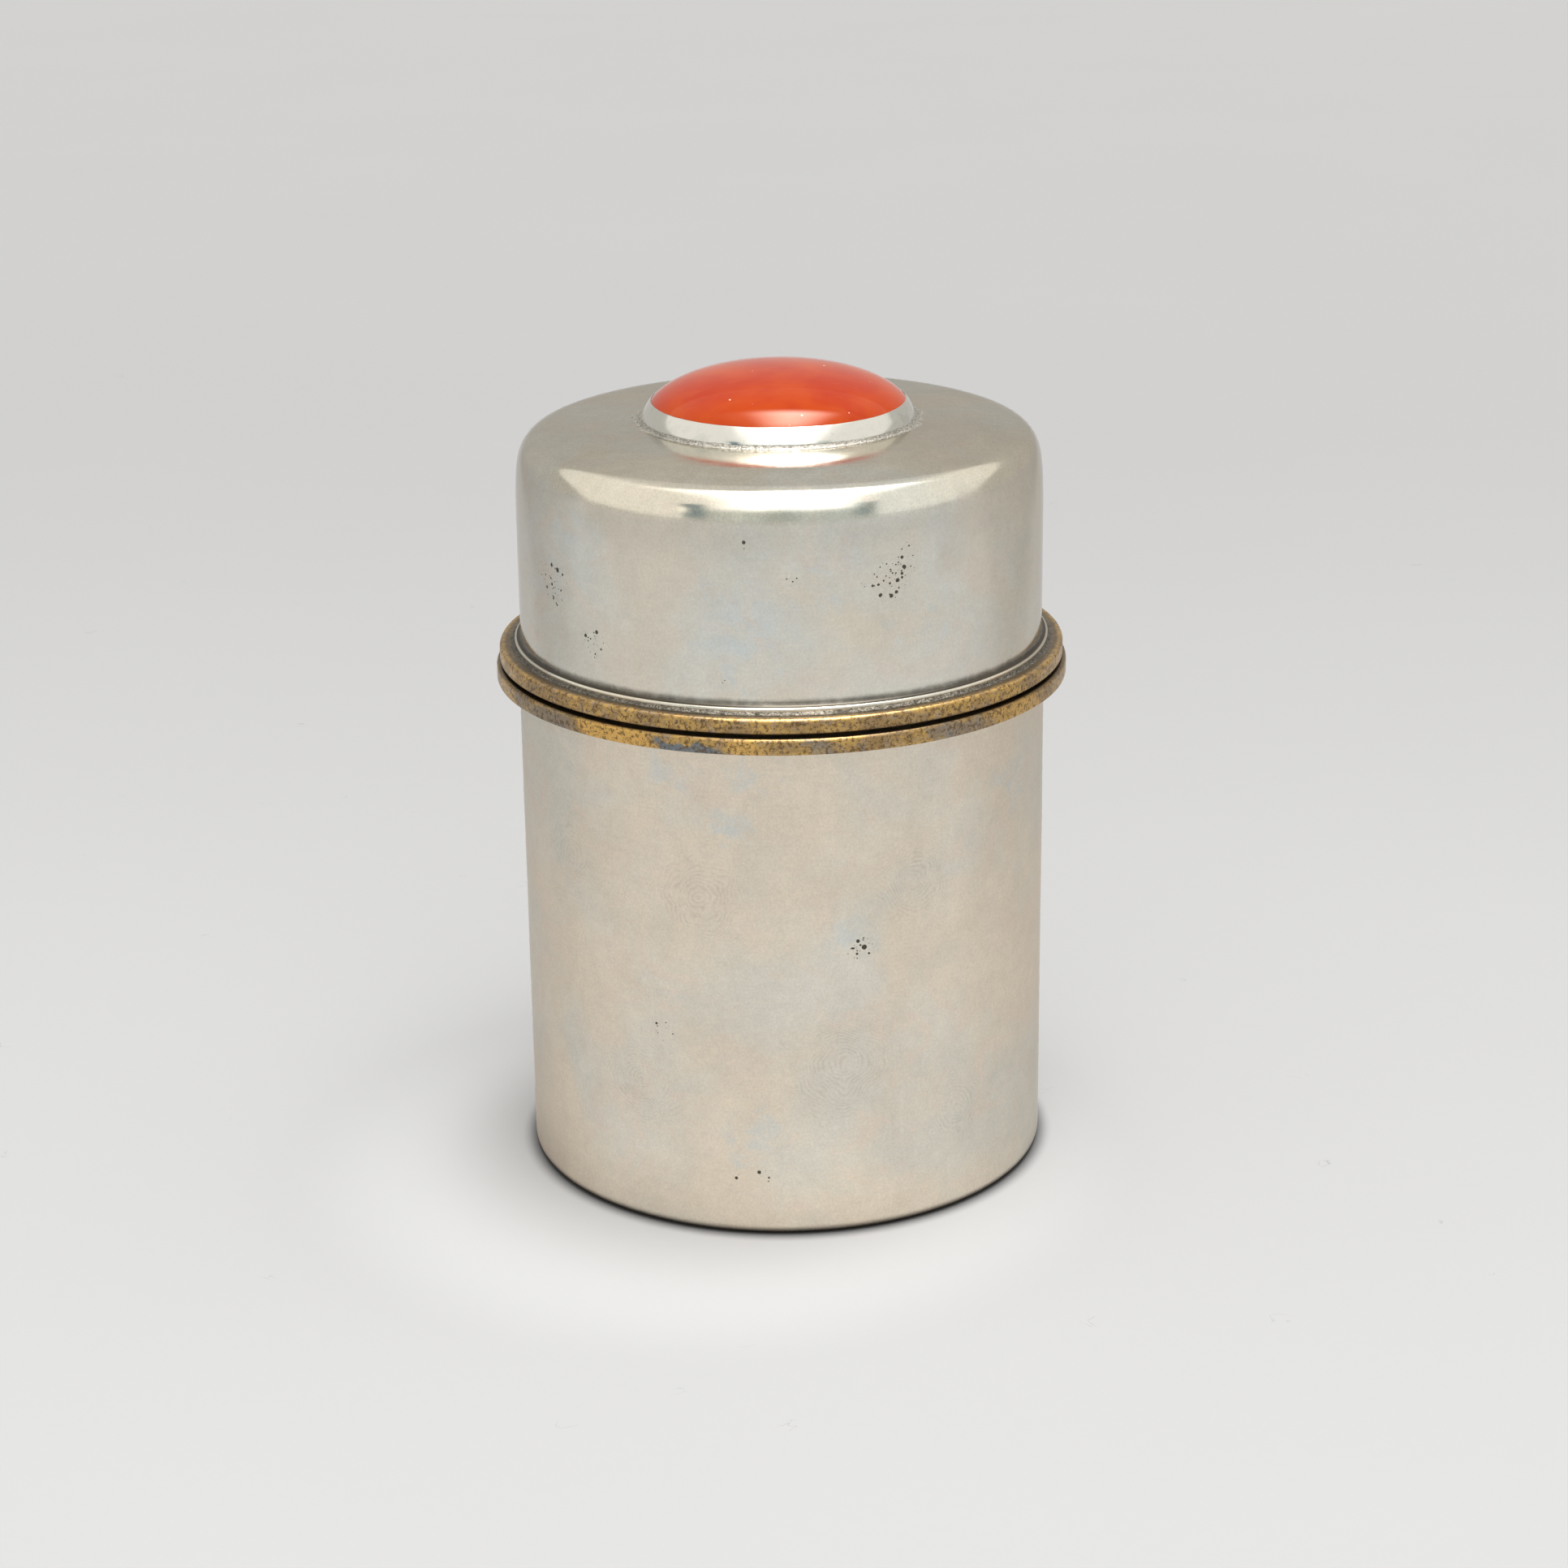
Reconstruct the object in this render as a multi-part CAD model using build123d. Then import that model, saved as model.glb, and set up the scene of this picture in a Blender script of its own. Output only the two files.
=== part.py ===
"""A round metal pill box with a lift-off lid.

The body is a deep cup with a brass ring round its mouth and a sleeve inside it. The lid slides over the
sleeve. It has a brass ring of its own and a domed stone in a bezel on top. Inside the body stands a
divider of two crossed plates on a disc. Each piece is a solid of its own, in millimetres, +Z up, with
the origin at the centre of the base.
"""
from build123d import *
import os
from math import acos, atan2, cos, pi, sin

# Body cup
BODY_R = 30.0
BODY_WALL = 1.2
FLOOR = 1.2
BASE_EDGE_R = 1.15
BASE_INNER_R = 0.5

# Height at which lid and body meet, and the fit between them
JOINT_Z = 59.4
SEAT_GAP = 0.02
RING_GAP = 0.4
SLIDING_CLEARANCE = 0.08

# Brass rings
BODY_RING_R = 32.5
BODY_RING_H = 1.8
LID_RING_R = 32.1
LID_RING_H = 1.7
BODY_RING_TOP_EDGE_R = 0.4
LID_RING_TOP_EDGE_R = 0.4
RING_LOWER_EDGE_R = 0.15

# Inner sleeve
SLEEVE_WALL = 0.8
SLEEVE_ABOVE_JOINT = 9.0
SLEEVE_BELOW_JOINT = 9.0
SLEEVE_EDGE_R = 0.3

# Lid shell
LID_R = 29.7
LID_TOP_Z = 86.5
LID_TOP_WALL = 0.9
LID_SEAT_R = 16.2
LID_CROWN_R = 24.6
LID_CROWN_DROP = 0.48
SHOULDER_LOW_Z = 76.15
SHOULDER_TOP_PULL = 4.54
SHOULDER_SIDE_PULL = 7.68
FLARE_OUT = 0.7
FLARE_EDGE_H = 0.7
FLARE_COVE_R = 0.5

# Stone and bezel
STONE_R = 15.0
STONE_DOME_H = 5.74
STONE_GIRDLE_H = 0.36
SETTING_CLEARANCE = 0.02
BEZEL_BASE_WALL = 0.4
BEZEL_STRAIGHT_H = 0.15
BEZEL_LIP_R = 14.25
BEZEL_LIP_WALL = 0.16

# Solder fillets
RING_SOLDER = 0.5
RING_SOLDER_H = 0.3
BODY_SOLDER = 0.4
BEZEL_SOLDER = 0.7
BEZEL_SOLDER_H = 0.4

# Pill divider
DIVIDER_WALL = 0.8
DIVIDER_SIDE_GAP = 0.4
DIVIDER_TOP_GAP = 0.4
DIVIDER_CORNER_R = 3.0
SLOT_CLEARANCE = 0.02

# Worked-out heights and radii
BODY_INNER_R = BODY_R - BODY_WALL
SLEEVE_INNER_R = BODY_INNER_R - SLEEVE_WALL
SLEEVE_TOP_Z = JOINT_Z + SLEEVE_ABOVE_JOINT
BODY_RING_TOP_Z = JOINT_Z - RING_GAP / 2
BODY_RING_BOTTOM_Z = BODY_RING_TOP_Z - BODY_RING_H
LID_INNER_R = BODY_INNER_R + SLIDING_CLEARANCE
LID_RING_BOTTOM_Z = JOINT_Z + RING_GAP / 2
LID_RING_TOP_Z = LID_RING_BOTTOM_Z + LID_RING_H
FLARE_R = LID_R + FLARE_OUT
STONE_EQUATOR_Z = LID_TOP_Z + STONE_GIRDLE_H
DIVIDER_R = SLEEVE_INNER_R - DIVIDER_SIDE_GAP
DISC_TOP_Z = FLOOR + DIVIDER_WALL
DIVIDER_TOP_Z = SLEEVE_TOP_Z - DIVIDER_TOP_GAP


def turned(outline):
    """A solid of revolution about Z from a closed outline drawn in the XZ plane."""
    return revolve(Plane.XZ * make_face(outline), Axis.Z)


def quarter(centre_r, centre_z, radius, start):
    """A quarter circle in the outline, counter-clockwise from the start angle in degrees."""
    return CenterArc((centre_r, centre_z), radius, start, 90)


def body_shell():
    """Deep cup with a rounded base edge, open at the top."""
    inside_r = BODY_INNER_R
    corner = BASE_INNER_R
    outline = [
        Line((0, 0), (BODY_R - BASE_EDGE_R, 0)),
        quarter(BODY_R - BASE_EDGE_R, BASE_EDGE_R, BASE_EDGE_R, -90),
        Line((BODY_R, BASE_EDGE_R), (BODY_R, JOINT_Z)),
        Line((BODY_R, JOINT_Z), (inside_r, JOINT_Z)),
        Line((inside_r, JOINT_Z), (inside_r, FLOOR + corner)),
        quarter(inside_r - corner, FLOOR + corner, corner, -90),
        Line((inside_r - corner, FLOOR), (0, FLOOR)),
        Line((0, FLOOR), (0, 0)),
    ]
    return turned(outline)


def body_rim_ring():
    """Brass ring round the outside of the body's mouth, just below its edge."""
    top_r = BODY_RING_TOP_EDGE_R
    low_r = RING_LOWER_EDGE_R
    low_z = BODY_RING_BOTTOM_Z
    top_z = BODY_RING_TOP_Z
    outline = [
        Line((BODY_R, low_z), (BODY_RING_R - low_r, low_z)),
        quarter(BODY_RING_R - low_r, low_z + low_r, low_r, -90),
        Line((BODY_RING_R, low_z + low_r), (BODY_RING_R, top_z - top_r)),
        quarter(BODY_RING_R - top_r, top_z - top_r, top_r, 0),
        Line((BODY_RING_R - top_r, top_z), (BODY_R, top_z)),
        Line((BODY_R, top_z), (BODY_R, low_z)),
    ]
    return turned(outline)


def inner_sleeve():
    """Straight tube in the body's mouth that the lid slides over."""
    low_z = JOINT_Z - SLEEVE_BELOW_JOINT
    outer_r = BODY_INNER_R
    edge = SLEEVE_EDGE_R
    outline = [
        Line((SLEEVE_INNER_R, low_z), (outer_r, low_z)),
        Line((outer_r, low_z), (outer_r, SLEEVE_TOP_Z - edge)),
        quarter(outer_r - edge, SLEEVE_TOP_Z - edge, edge, 0),
        Line((outer_r - edge, SLEEVE_TOP_Z), (SLEEVE_INNER_R, SLEEVE_TOP_Z)),
        Line((SLEEVE_INNER_R, SLEEVE_TOP_Z), (SLEEVE_INNER_R, low_z)),
    ]
    return turned(outline)


def shoulder(wall_r, crown_r, top_z):
    """Lid's shoulder: a straight gentle fall from the stone's seat, then a curve down to the wall."""
    crown_z = top_z - LID_CROWN_DROP
    slope = atan2(LID_CROWN_DROP, LID_CROWN_R - LID_SEAT_R)
    seat_r = crown_r - (LID_CROWN_R - LID_SEAT_R)
    curve = Bezier(
        (crown_r, crown_z),
        (crown_r + SHOULDER_TOP_PULL * cos(slope), crown_z - SHOULDER_TOP_PULL * sin(slope)),
        (wall_r, SHOULDER_LOW_Z + SHOULDER_SIDE_PULL),
        (wall_r, SHOULDER_LOW_Z),
    )
    return [Line((0, top_z), (seat_r, top_z)), Line((seat_r, top_z), (crown_r, crown_z)), curve]


def lid_shell():
    """Spun lid: flat seat for the stone, gently falling top, round shoulder, wall and a small flare."""
    cove_z = LID_RING_TOP_Z + FLARE_EDGE_H + FLARE_COVE_R
    edge = FLARE_OUT - FLARE_COVE_R
    edge_z = LID_RING_TOP_Z + FLARE_EDGE_H - edge
    inner_top_z = LID_TOP_Z - LID_TOP_WALL
    inner_crown_r = LID_CROWN_R - (LID_R - LID_INNER_R)
    outline = [
        *shoulder(LID_R, LID_CROWN_R, LID_TOP_Z),
        Line((LID_R, SHOULDER_LOW_Z), (LID_R, cove_z)),
        CenterArc((LID_R + FLARE_COVE_R, cove_z), FLARE_COVE_R, 180, 90),
        CenterArc((FLARE_R - edge, edge_z), edge, 90, -90),
        Line((FLARE_R, edge_z), (FLARE_R, LID_RING_TOP_Z)),
        Line((FLARE_R, LID_RING_TOP_Z), (LID_INNER_R, LID_RING_TOP_Z)),
        Line((LID_INNER_R, LID_RING_TOP_Z), (LID_INNER_R, SHOULDER_LOW_Z)),
        *shoulder(LID_INNER_R, inner_crown_r, inner_top_z),
        Line((0, inner_top_z), (0, LID_TOP_Z)),
    ]
    return turned(outline)


def lid_rim_ring():
    """Brass ring under the lid's flare, with a land that stands on the body's edge."""
    top_r = LID_RING_TOP_EDGE_R
    low_r = RING_LOWER_EDGE_R
    low_z = LID_RING_BOTTOM_Z
    land_z = JOINT_Z + SEAT_GAP
    outline = [
        Line((LID_INNER_R, land_z), (BODY_R, land_z)),
        Line((BODY_R, land_z), (BODY_R, low_z)),
        Line((BODY_R, low_z), (LID_RING_R - low_r, low_z)),
        quarter(LID_RING_R - low_r, low_z + low_r, low_r, -90),
        Line((LID_RING_R, low_z + low_r), (LID_RING_R, LID_RING_TOP_Z - top_r)),
        quarter(LID_RING_R - top_r, LID_RING_TOP_Z - top_r, top_r, 0),
        Line((LID_RING_R - top_r, LID_RING_TOP_Z), (LID_INNER_R, LID_RING_TOP_Z)),
        Line((LID_INNER_R, LID_RING_TOP_Z), (LID_INNER_R, land_z)),
    ]
    return turned(outline)


def fillet_ring(wall_r, face_z, out, up):
    """Three-cornered ring of solder between a wall of radius wall_r and a flat face at face_z."""
    outline = [
        Line((wall_r, face_z), (wall_r + out, face_z)),
        Line((wall_r + out, face_z), (wall_r, face_z + up)),
        Line((wall_r, face_z + up), (wall_r, face_z)),
    ]
    return turned(outline)


def dome_curve(radius, height, top_angle):
    """Elliptical outline of the dome, from the girdle up to an angle given in radians."""
    steps = 8
    angles = [top_angle * step / steps for step in range(steps + 1)]
    points = [(radius * cos(angle), STONE_EQUATOR_Z + height * sin(angle)) for angle in angles]
    top_tangent = (-radius * sin(top_angle), height * cos(top_angle))
    return Spline(*points, tangents=((0, 1), top_tangent))


def cabochon():
    """Flat-backed oval-domed stone, round in plan."""
    dome = dome_curve(STONE_R, STONE_DOME_H, pi / 2)
    outline = [
        Line((0, LID_TOP_Z), (STONE_R, LID_TOP_Z)),
        Line((STONE_R, LID_TOP_Z), (STONE_R, STONE_EQUATOR_Z)),
        dome,
        Line(dome @ 1, (0, LID_TOP_Z)),
    ]
    return turned(outline)


def bezel():
    """Metal strip round the stone, standing on the lid and pressed in over the stone's edge."""
    inner_r = STONE_R + SETTING_CLEARANCE
    outer_r = STONE_R + BEZEL_BASE_WALL
    straight_z = LID_TOP_Z + BEZEL_STRAIGHT_H
    inside = dome_curve(inner_r, STONE_DOME_H + SETTING_CLEARANCE, acos(BEZEL_LIP_R / inner_r))
    lip = inside @ 1
    outer_lip = (lip.X + BEZEL_LIP_WALL, lip.Y)
    outline = [
        Line((inner_r, LID_TOP_Z), (outer_r, LID_TOP_Z)),
        Line((outer_r, LID_TOP_Z), (outer_r, straight_z)),
        TangentArc((outer_r, straight_z), outer_lip, tangent=(0, 1)),
        Line(outer_lip, lip),
        inside,
        Line((inner_r, STONE_EQUATOR_Z), (inner_r, LID_TOP_Z)),
    ]
    return turned(outline)


def divider_disc():
    """Round plate on the body's floor that the crossed plates stand on."""
    return Pos(0, 0, FLOOR) * Cylinder(
        DIVIDER_R, DIVIDER_WALL, align=(Align.CENTER, Align.CENTER, Align.MIN)
    )


def divider_plate(turn, slot_at_top):
    """Upright plate across the body, slotted to half its height to cross its twin."""
    height = DIVIDER_TOP_Z - DISC_TOP_Z
    middle_z = DISC_TOP_Z + height / 2
    plate = Box(2 * DIVIDER_R, DIVIDER_WALL, height)
    corners = plate.edges().filter_by(Axis.Y).group_by(Axis.Z)[-1]
    plate = fillet(corners, DIVIDER_CORNER_R)
    slot_width = DIVIDER_WALL + 2 * SLOT_CLEARANCE
    slot = Box(slot_width, 2 * DIVIDER_WALL, height / 2 + SLOT_CLEARANCE)
    side = 1 if slot_at_top else -1
    plate -= Pos(0, 0, side * height / 4) * slot
    return Pos(0, 0, middle_z) * Rot(0, 0, turn) * plate


def sub_parts():
    """Every piece by its node's name."""
    return {
        "body_shell": body_shell(),
        "body_rim_ring": body_rim_ring(),
        "body_ring_solder": fillet_ring(BODY_R, BODY_RING_BOTTOM_Z, BODY_SOLDER, -BODY_SOLDER),
        "inner_sleeve": inner_sleeve(),
        "divider_disc": divider_disc(),
        "divider_plate_lower": divider_plate(0, slot_at_top=True),
        "divider_plate_upper": divider_plate(90, slot_at_top=False),
        "lid_shell": lid_shell(),
        "lid_rim_ring": lid_rim_ring(),
        "lid_ring_solder": fillet_ring(FLARE_R, LID_RING_TOP_Z, RING_SOLDER, RING_SOLDER_H),
        "bezel": bezel(),
        "bezel_solder": fillet_ring(STONE_R + BEZEL_BASE_WALL, LID_TOP_Z, BEZEL_SOLDER, BEZEL_SOLDER_H),
        "cabochon": cabochon(),
    }


if __name__ == "__main__":
    os.makedirs("parts", exist_ok=True)
    for name, solid in sub_parts().items():
        export_step(solid, f"parts/{name}.step")
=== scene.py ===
"""Looks for a round metal pill box: satin nickel silver, tarnished brass rings and a domed stone.

Every piece is turned or cut again at a finer grain than the CAD node that it stands for, on the sizes
of the frame. Lengths are in metres.
"""

import math

import bmesh
import bpy
from mathutils import Matrix, Vector, noise


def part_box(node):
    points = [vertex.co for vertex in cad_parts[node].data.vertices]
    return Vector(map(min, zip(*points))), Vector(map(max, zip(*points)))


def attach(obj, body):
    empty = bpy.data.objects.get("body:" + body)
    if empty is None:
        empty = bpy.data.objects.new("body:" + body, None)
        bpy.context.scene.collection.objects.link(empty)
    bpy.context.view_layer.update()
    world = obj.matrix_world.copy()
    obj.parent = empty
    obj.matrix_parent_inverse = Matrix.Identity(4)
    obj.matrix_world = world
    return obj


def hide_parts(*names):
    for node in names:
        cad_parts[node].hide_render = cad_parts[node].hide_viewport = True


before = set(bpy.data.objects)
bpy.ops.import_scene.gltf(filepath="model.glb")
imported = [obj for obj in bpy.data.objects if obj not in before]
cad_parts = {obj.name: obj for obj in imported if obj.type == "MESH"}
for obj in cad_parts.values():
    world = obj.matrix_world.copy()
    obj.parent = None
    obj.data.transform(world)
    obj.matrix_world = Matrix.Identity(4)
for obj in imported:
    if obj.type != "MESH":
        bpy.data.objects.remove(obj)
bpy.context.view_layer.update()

MM = 0.001

# Sizes read from the frame
BODY_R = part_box("body_shell")[1].x
JOINT_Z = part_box("body_shell")[1].z
FLOOR_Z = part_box("divider_disc")[0].z
SLEEVE_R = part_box("inner_sleeve")[1].x
SLEEVE_LOW_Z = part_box("inner_sleeve")[0].z
SLEEVE_TOP_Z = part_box("inner_sleeve")[1].z
BODY_RING_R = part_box("body_rim_ring")[1].x
BODY_RING_LOW_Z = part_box("body_rim_ring")[0].z
BODY_RING_TOP_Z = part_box("body_rim_ring")[1].z
LID_RING_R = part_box("lid_rim_ring")[1].x
LID_LAND_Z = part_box("lid_rim_ring")[0].z
LID_RING_TOP_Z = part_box("lid_rim_ring")[1].z
FLARE_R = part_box("lid_shell")[1].x
LID_TOP_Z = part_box("lid_shell")[1].z
STONE_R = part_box("cabochon")[1].x
STONE_TOP_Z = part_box("cabochon")[1].z
BEZEL_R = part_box("bezel")[1].x
BEZEL_TOP_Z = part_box("bezel")[1].z
RING_SOLDER_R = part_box("lid_ring_solder")[1].x
RING_SOLDER_TOP_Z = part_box("lid_ring_solder")[1].z
BODY_SOLDER_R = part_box("body_ring_solder")[1].x
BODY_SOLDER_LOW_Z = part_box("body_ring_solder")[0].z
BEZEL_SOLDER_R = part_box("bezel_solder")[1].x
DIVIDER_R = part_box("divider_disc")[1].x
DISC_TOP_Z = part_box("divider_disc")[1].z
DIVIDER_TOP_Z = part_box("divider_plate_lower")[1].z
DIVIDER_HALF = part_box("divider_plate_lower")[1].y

# Sizes inside the outlines, as the frame was drawn
BASE_EDGE = 1.15 * MM
LID_R = FLARE_R - 0.7 * MM
LID_WALL = 0.82 * MM
LID_TOP_WALL = 0.9 * MM
LID_SEAT_R = 16.2 * MM
LID_CROWN_R = 24.6 * MM
LID_CROWN_DROP = 0.48 * MM
SHOULDER_LOW_Z = 76.15 * MM
SHOULDER_TOP_PULL = 4.54 * MM
SHOULDER_SIDE_PULL = 7.68 * MM
FRONT_DIP_R = 22.5 * MM
FRONT_DIP_DROP = 0.28 * MM
FRONT_CROWN_R = 26.0 * MM
FRONT_CROWN_DROP = 0.9 * MM
FRONT_TOP_PULL = 3.1 * MM
FRONT_SIDE_PULL = 8.9 * MM
LID_CLEARANCE = 0.08 * MM
FLARE_EDGE_H = 0.7 * MM
FLARE_COVE = 0.5 * MM
RING_GAP_HALF = 0.2 * MM
SLEEVE_WALL = 0.8 * MM
STONE_GIRDLE_Z = LID_TOP_Z + 0.36 * MM
BEZEL_LIP_R = 14.25 * MM
BEZEL_LEAN_Z = LID_TOP_Z + 0.15 * MM
BEZEL_LEAN_POWER = 1.65
BEZEL_SOLDER_H = 0.4 * MM
PLATE_CORNER = 3 * MM
RING_LOW_EDGE = 0.15 * MM
RING_TOP_EDGE = 0.4 * MM
SLEEVE_EDGE = 0.3 * MM
DISC_EDGE = 0.15 * MM
CUP_CORNER = 0.5 * MM
FILLET_BITE = 0.03 * MM
SHARP = math.radians(38)


# ---------------------------------------------------------------- turned shapes

def straight(start, end, step=1.5 * MM, hold=0.1 * MM):
    """Points along a straight run of an outline, with one close to each end for flat shading."""
    length = math.dist(start, end)
    if length < 4 * hold:
        return [start, end]
    count = max(1, math.ceil(length / step))
    shares = {0.0, hold / length, 1 - hold / length, 1.0}
    shares |= {i / count for i in range(1, count)}
    return [tuple(a + (b - a) * share for a, b in zip(start, end)) for share in sorted(shares)]


def round_off(centre, radius, start, end, steps=8, height=None):
    """Points along an arc between two angles, or along an ellipse with its own height."""
    turns = [math.radians(start + (end - start) * i / steps) for i in range(steps + 1)]
    height = radius if height is None else height
    return [(centre[0] + radius * math.cos(t), centre[1] + height * math.sin(t)) for t in turns]


def bend(start, pull, counter_pull, end, steps):
    """Points along a cubic curve that leaves start towards pull and reaches end from counter_pull."""
    points = []
    for i in range(steps + 1):
        t = i / steps
        weights = ((1 - t) ** 3, 3 * t * (1 - t) ** 2, 3 * t * t * (1 - t), t ** 3)
        corners = (start, pull, counter_pull, end)
        points.append(tuple(sum(w * c[k] for w, c in zip(weights, corners)) for k in (0, 1)))
    return points


def outline_of(*stretches):
    """One closed outline from its stretches, with each point once."""
    points = []
    for point in (p for stretch in stretches for p in stretch):
        if not points or math.dist(points[-1], point) > 1e-7:
            points.append(point)
    if math.dist(points[0], points[-1]) <= 1e-7:
        points.pop()
    return points


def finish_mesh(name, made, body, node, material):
    """Turns a bmesh into a smooth piece that rides on a body and stands for a CAD node."""
    bmesh.ops.recalc_face_normals(made, faces=made.faces)
    mesh = bpy.data.meshes.new(name)
    made.to_mesh(mesh)
    made.free()
    mesh.shade_smooth()
    mesh.set_sharp_from_angle(angle=SHARP)
    mesh.materials.append(material)
    piece = bpy.data.objects.new(name, mesh)
    bpy.context.scene.collection.objects.link(piece)
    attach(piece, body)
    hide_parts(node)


def turn(outline, segments, unevenness=None):
    """A closed solid turned about Z. unevenness(angle, radius, height) may move each point a little."""
    made = bmesh.new()
    columns = []
    for radius, height in outline:
        if radius < 1e-7:
            columns.append([made.verts.new((0, 0, height))])
            continue
        column = []
        for i in range(segments):
            angle = 2 * math.pi * i / segments
            r, z = (radius, height) if unevenness is None else unevenness(angle, radius, height)
            column.append(made.verts.new((r * math.cos(angle), r * math.sin(angle), z)))
        columns.append(column)
    for near, far in zip(columns, columns[1:] + columns[:1]):
        if len(near) == 1 and len(far) == 1:
            continue
        for i in range(segments):
            j = (i + 1) % segments
            corners = [near[i % len(near)], far[i % len(far)], far[j % len(far)], near[j % len(near)]]
            made.faces.new(list(dict.fromkeys(corners)))
    return made


def clamped(value):
    """The value kept between 0 and 1."""
    return max(0.0, min(1.0, value))


def ripple(angle, radius, height, size, seed):
    """Smooth noise from -1 to 1 on the turned surface, with waves about size long."""
    return noise.noise(Vector((
        radius * math.cos(angle) / size + seed,
        radius * math.sin(angle) / size,
        height / size,
    )))


def spun_wall(angle, radius, height):
    """The slight unevenness of hand-spun sheet."""
    swell = 0.030 * MM * ripple(angle, radius, height, 16 * MM, 3)
    swell += 0.010 * MM * ripple(angle, radius, height, 5 * MM, 11)
    return radius + swell, height


def spun_lid(angle, radius, height):
    """The same on the lid, where the top moves up and down instead and the shoulder leans a little."""
    swell = 0.026 * MM * ripple(angle, radius, height, 15 * MM, 23)
    swell += 0.005 * MM * ripple(angle, radius, height, 5 * MM, 31)
    shoulder_h = LID_TOP_Z - LID_CROWN_DROP - SHOULDER_LOW_Z
    flat = clamped((height - SHOULDER_LOW_Z) / shoulder_h)
    off_seat = clamped((radius - LID_CROWN_R) / (LID_R - LID_CROWN_R))
    lean = 0.15 * MM * math.cos(angle) * flat * off_seat
    return radius + swell * (1 - flat), height + swell * flat + lean


def filed_ring(angle, radius, height):
    """Rings filed by hand: round to a few hundredths of a millimetre."""
    return (
        radius + 0.02 * MM * ripple(angle, radius, height, 9 * MM, 41),
        height + 0.012 * MM * ripple(angle, radius, height, 7 * MM, 53),
    )


# ---------------------------------------------------------------- materials

RIDGE_SPACING = 0.46 * MM
PIT_BLACK = (0.030, 0.022, 0.014)
PIT_GRIME = (0.20, 0.17, 0.13)
COVE_DARK = (0.045, 0.039, 0.032)
FROST_GLINT = (0.86, 0.81, 0.72)
FROST_SHADE = (0.50, 0.44, 0.37)
GAP_SHADE = (0.05, 0.036, 0.022)
RING_TOP_DARK = (0.085, 0.068, 0.048)
BEZEL_FOOT_DARK = (0.19, 0.18, 0.157)
STONE_SPECK = (0.85, 0.55, 0.45)


class Graph:
    """Short names for the nodes of one material or of the world."""

    def __init__(self, tree):
        self.tree = tree
        self.tree.nodes.clear()

    def feed(self, socket, value):
        if isinstance(value, bpy.types.NodeSocket):
            self.tree.links.new(value, socket)
        else:
            socket.default_value = value

    def add(self, kind, inputs, **settings):
        node = self.tree.nodes.new(kind)
        for name, value in settings.items():
            setattr(node, name, value)
        for name, value in inputs.items():
            self.feed(node.inputs[name], value)
        return node

    def math(self, operation, a, b=0.0):
        return self.add("ShaderNodeMath", {0: a, 1: b}, operation=operation).outputs[0]

    def vector_math(self, operation, a, b=(0, 0, 0)):
        node = self.add("ShaderNodeVectorMath", {0: a, 1: b}, operation=operation)
        return node.outputs["Value" if operation in ("LENGTH", "DISTANCE") else "Vector"]

    def ramp(self, value, low, high, start=0.0, end=1.0):
        inputs = {"Value": value, 1: low, 2: high, 3: start, 4: end}
        return self.add("ShaderNodeMapRange", inputs, interpolation_type="SMOOTHSTEP").outputs[0]

    def between(self, value, start, risen, falling, end):
        """Rises from 0 to 1 between start and risen, and falls back between falling and end."""
        return self.math("MULTIPLY", self.ramp(value, start, risen), self.ramp(value, end, falling))

    def noise(self, vector, size, detail=2.0, roughness=0.5, distortion=0.0):
        """Noise from 0 to 1 whose features are about size metres across."""
        inputs = {"Vector": vector, "Scale": 1 / size, "Detail": detail}
        inputs |= {"Roughness": roughness, "Distortion": distortion}
        return self.add("ShaderNodeTexNoise", inputs).outputs["Fac"]

    def cells(self, vector, size):
        """Distance to the nearest of scattered points, in cells, and each cell's own random colour."""
        node = self.add("ShaderNodeTexVoronoi", {"Vector": vector, "Scale": 1 / size})
        return node.outputs["Distance"], node.outputs["Color"]

    def mix(self, share, a, b, how="MIX"):
        """Colour mix."""
        node = self.add("ShaderNodeMix", {}, data_type="RGBA", blend_type=how)
        for index, value in ((0, share), (6, a), (7, b)):
            self.feed(node.inputs[index], (*value, 1) if isinstance(value, tuple) else value)
        return node.outputs[2]

    def scaled(self, vector, x, y, z):
        return self.vector_math("MULTIPLY", vector, (x, y, z))

    def parts(self, vector):
        return self.add("ShaderNodeSeparateXYZ", {0: vector}).outputs

    def joined(self, x, y, z):
        return self.add("ShaderNodeCombineXYZ", {0: x, 1: y, 2: z}).outputs[0]

    def bump(self, height, depth, strength):
        inputs = {"Height": height, "Distance": depth, "Strength": strength}
        return self.add("ShaderNodeBump", inputs).outputs[0]


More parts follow.
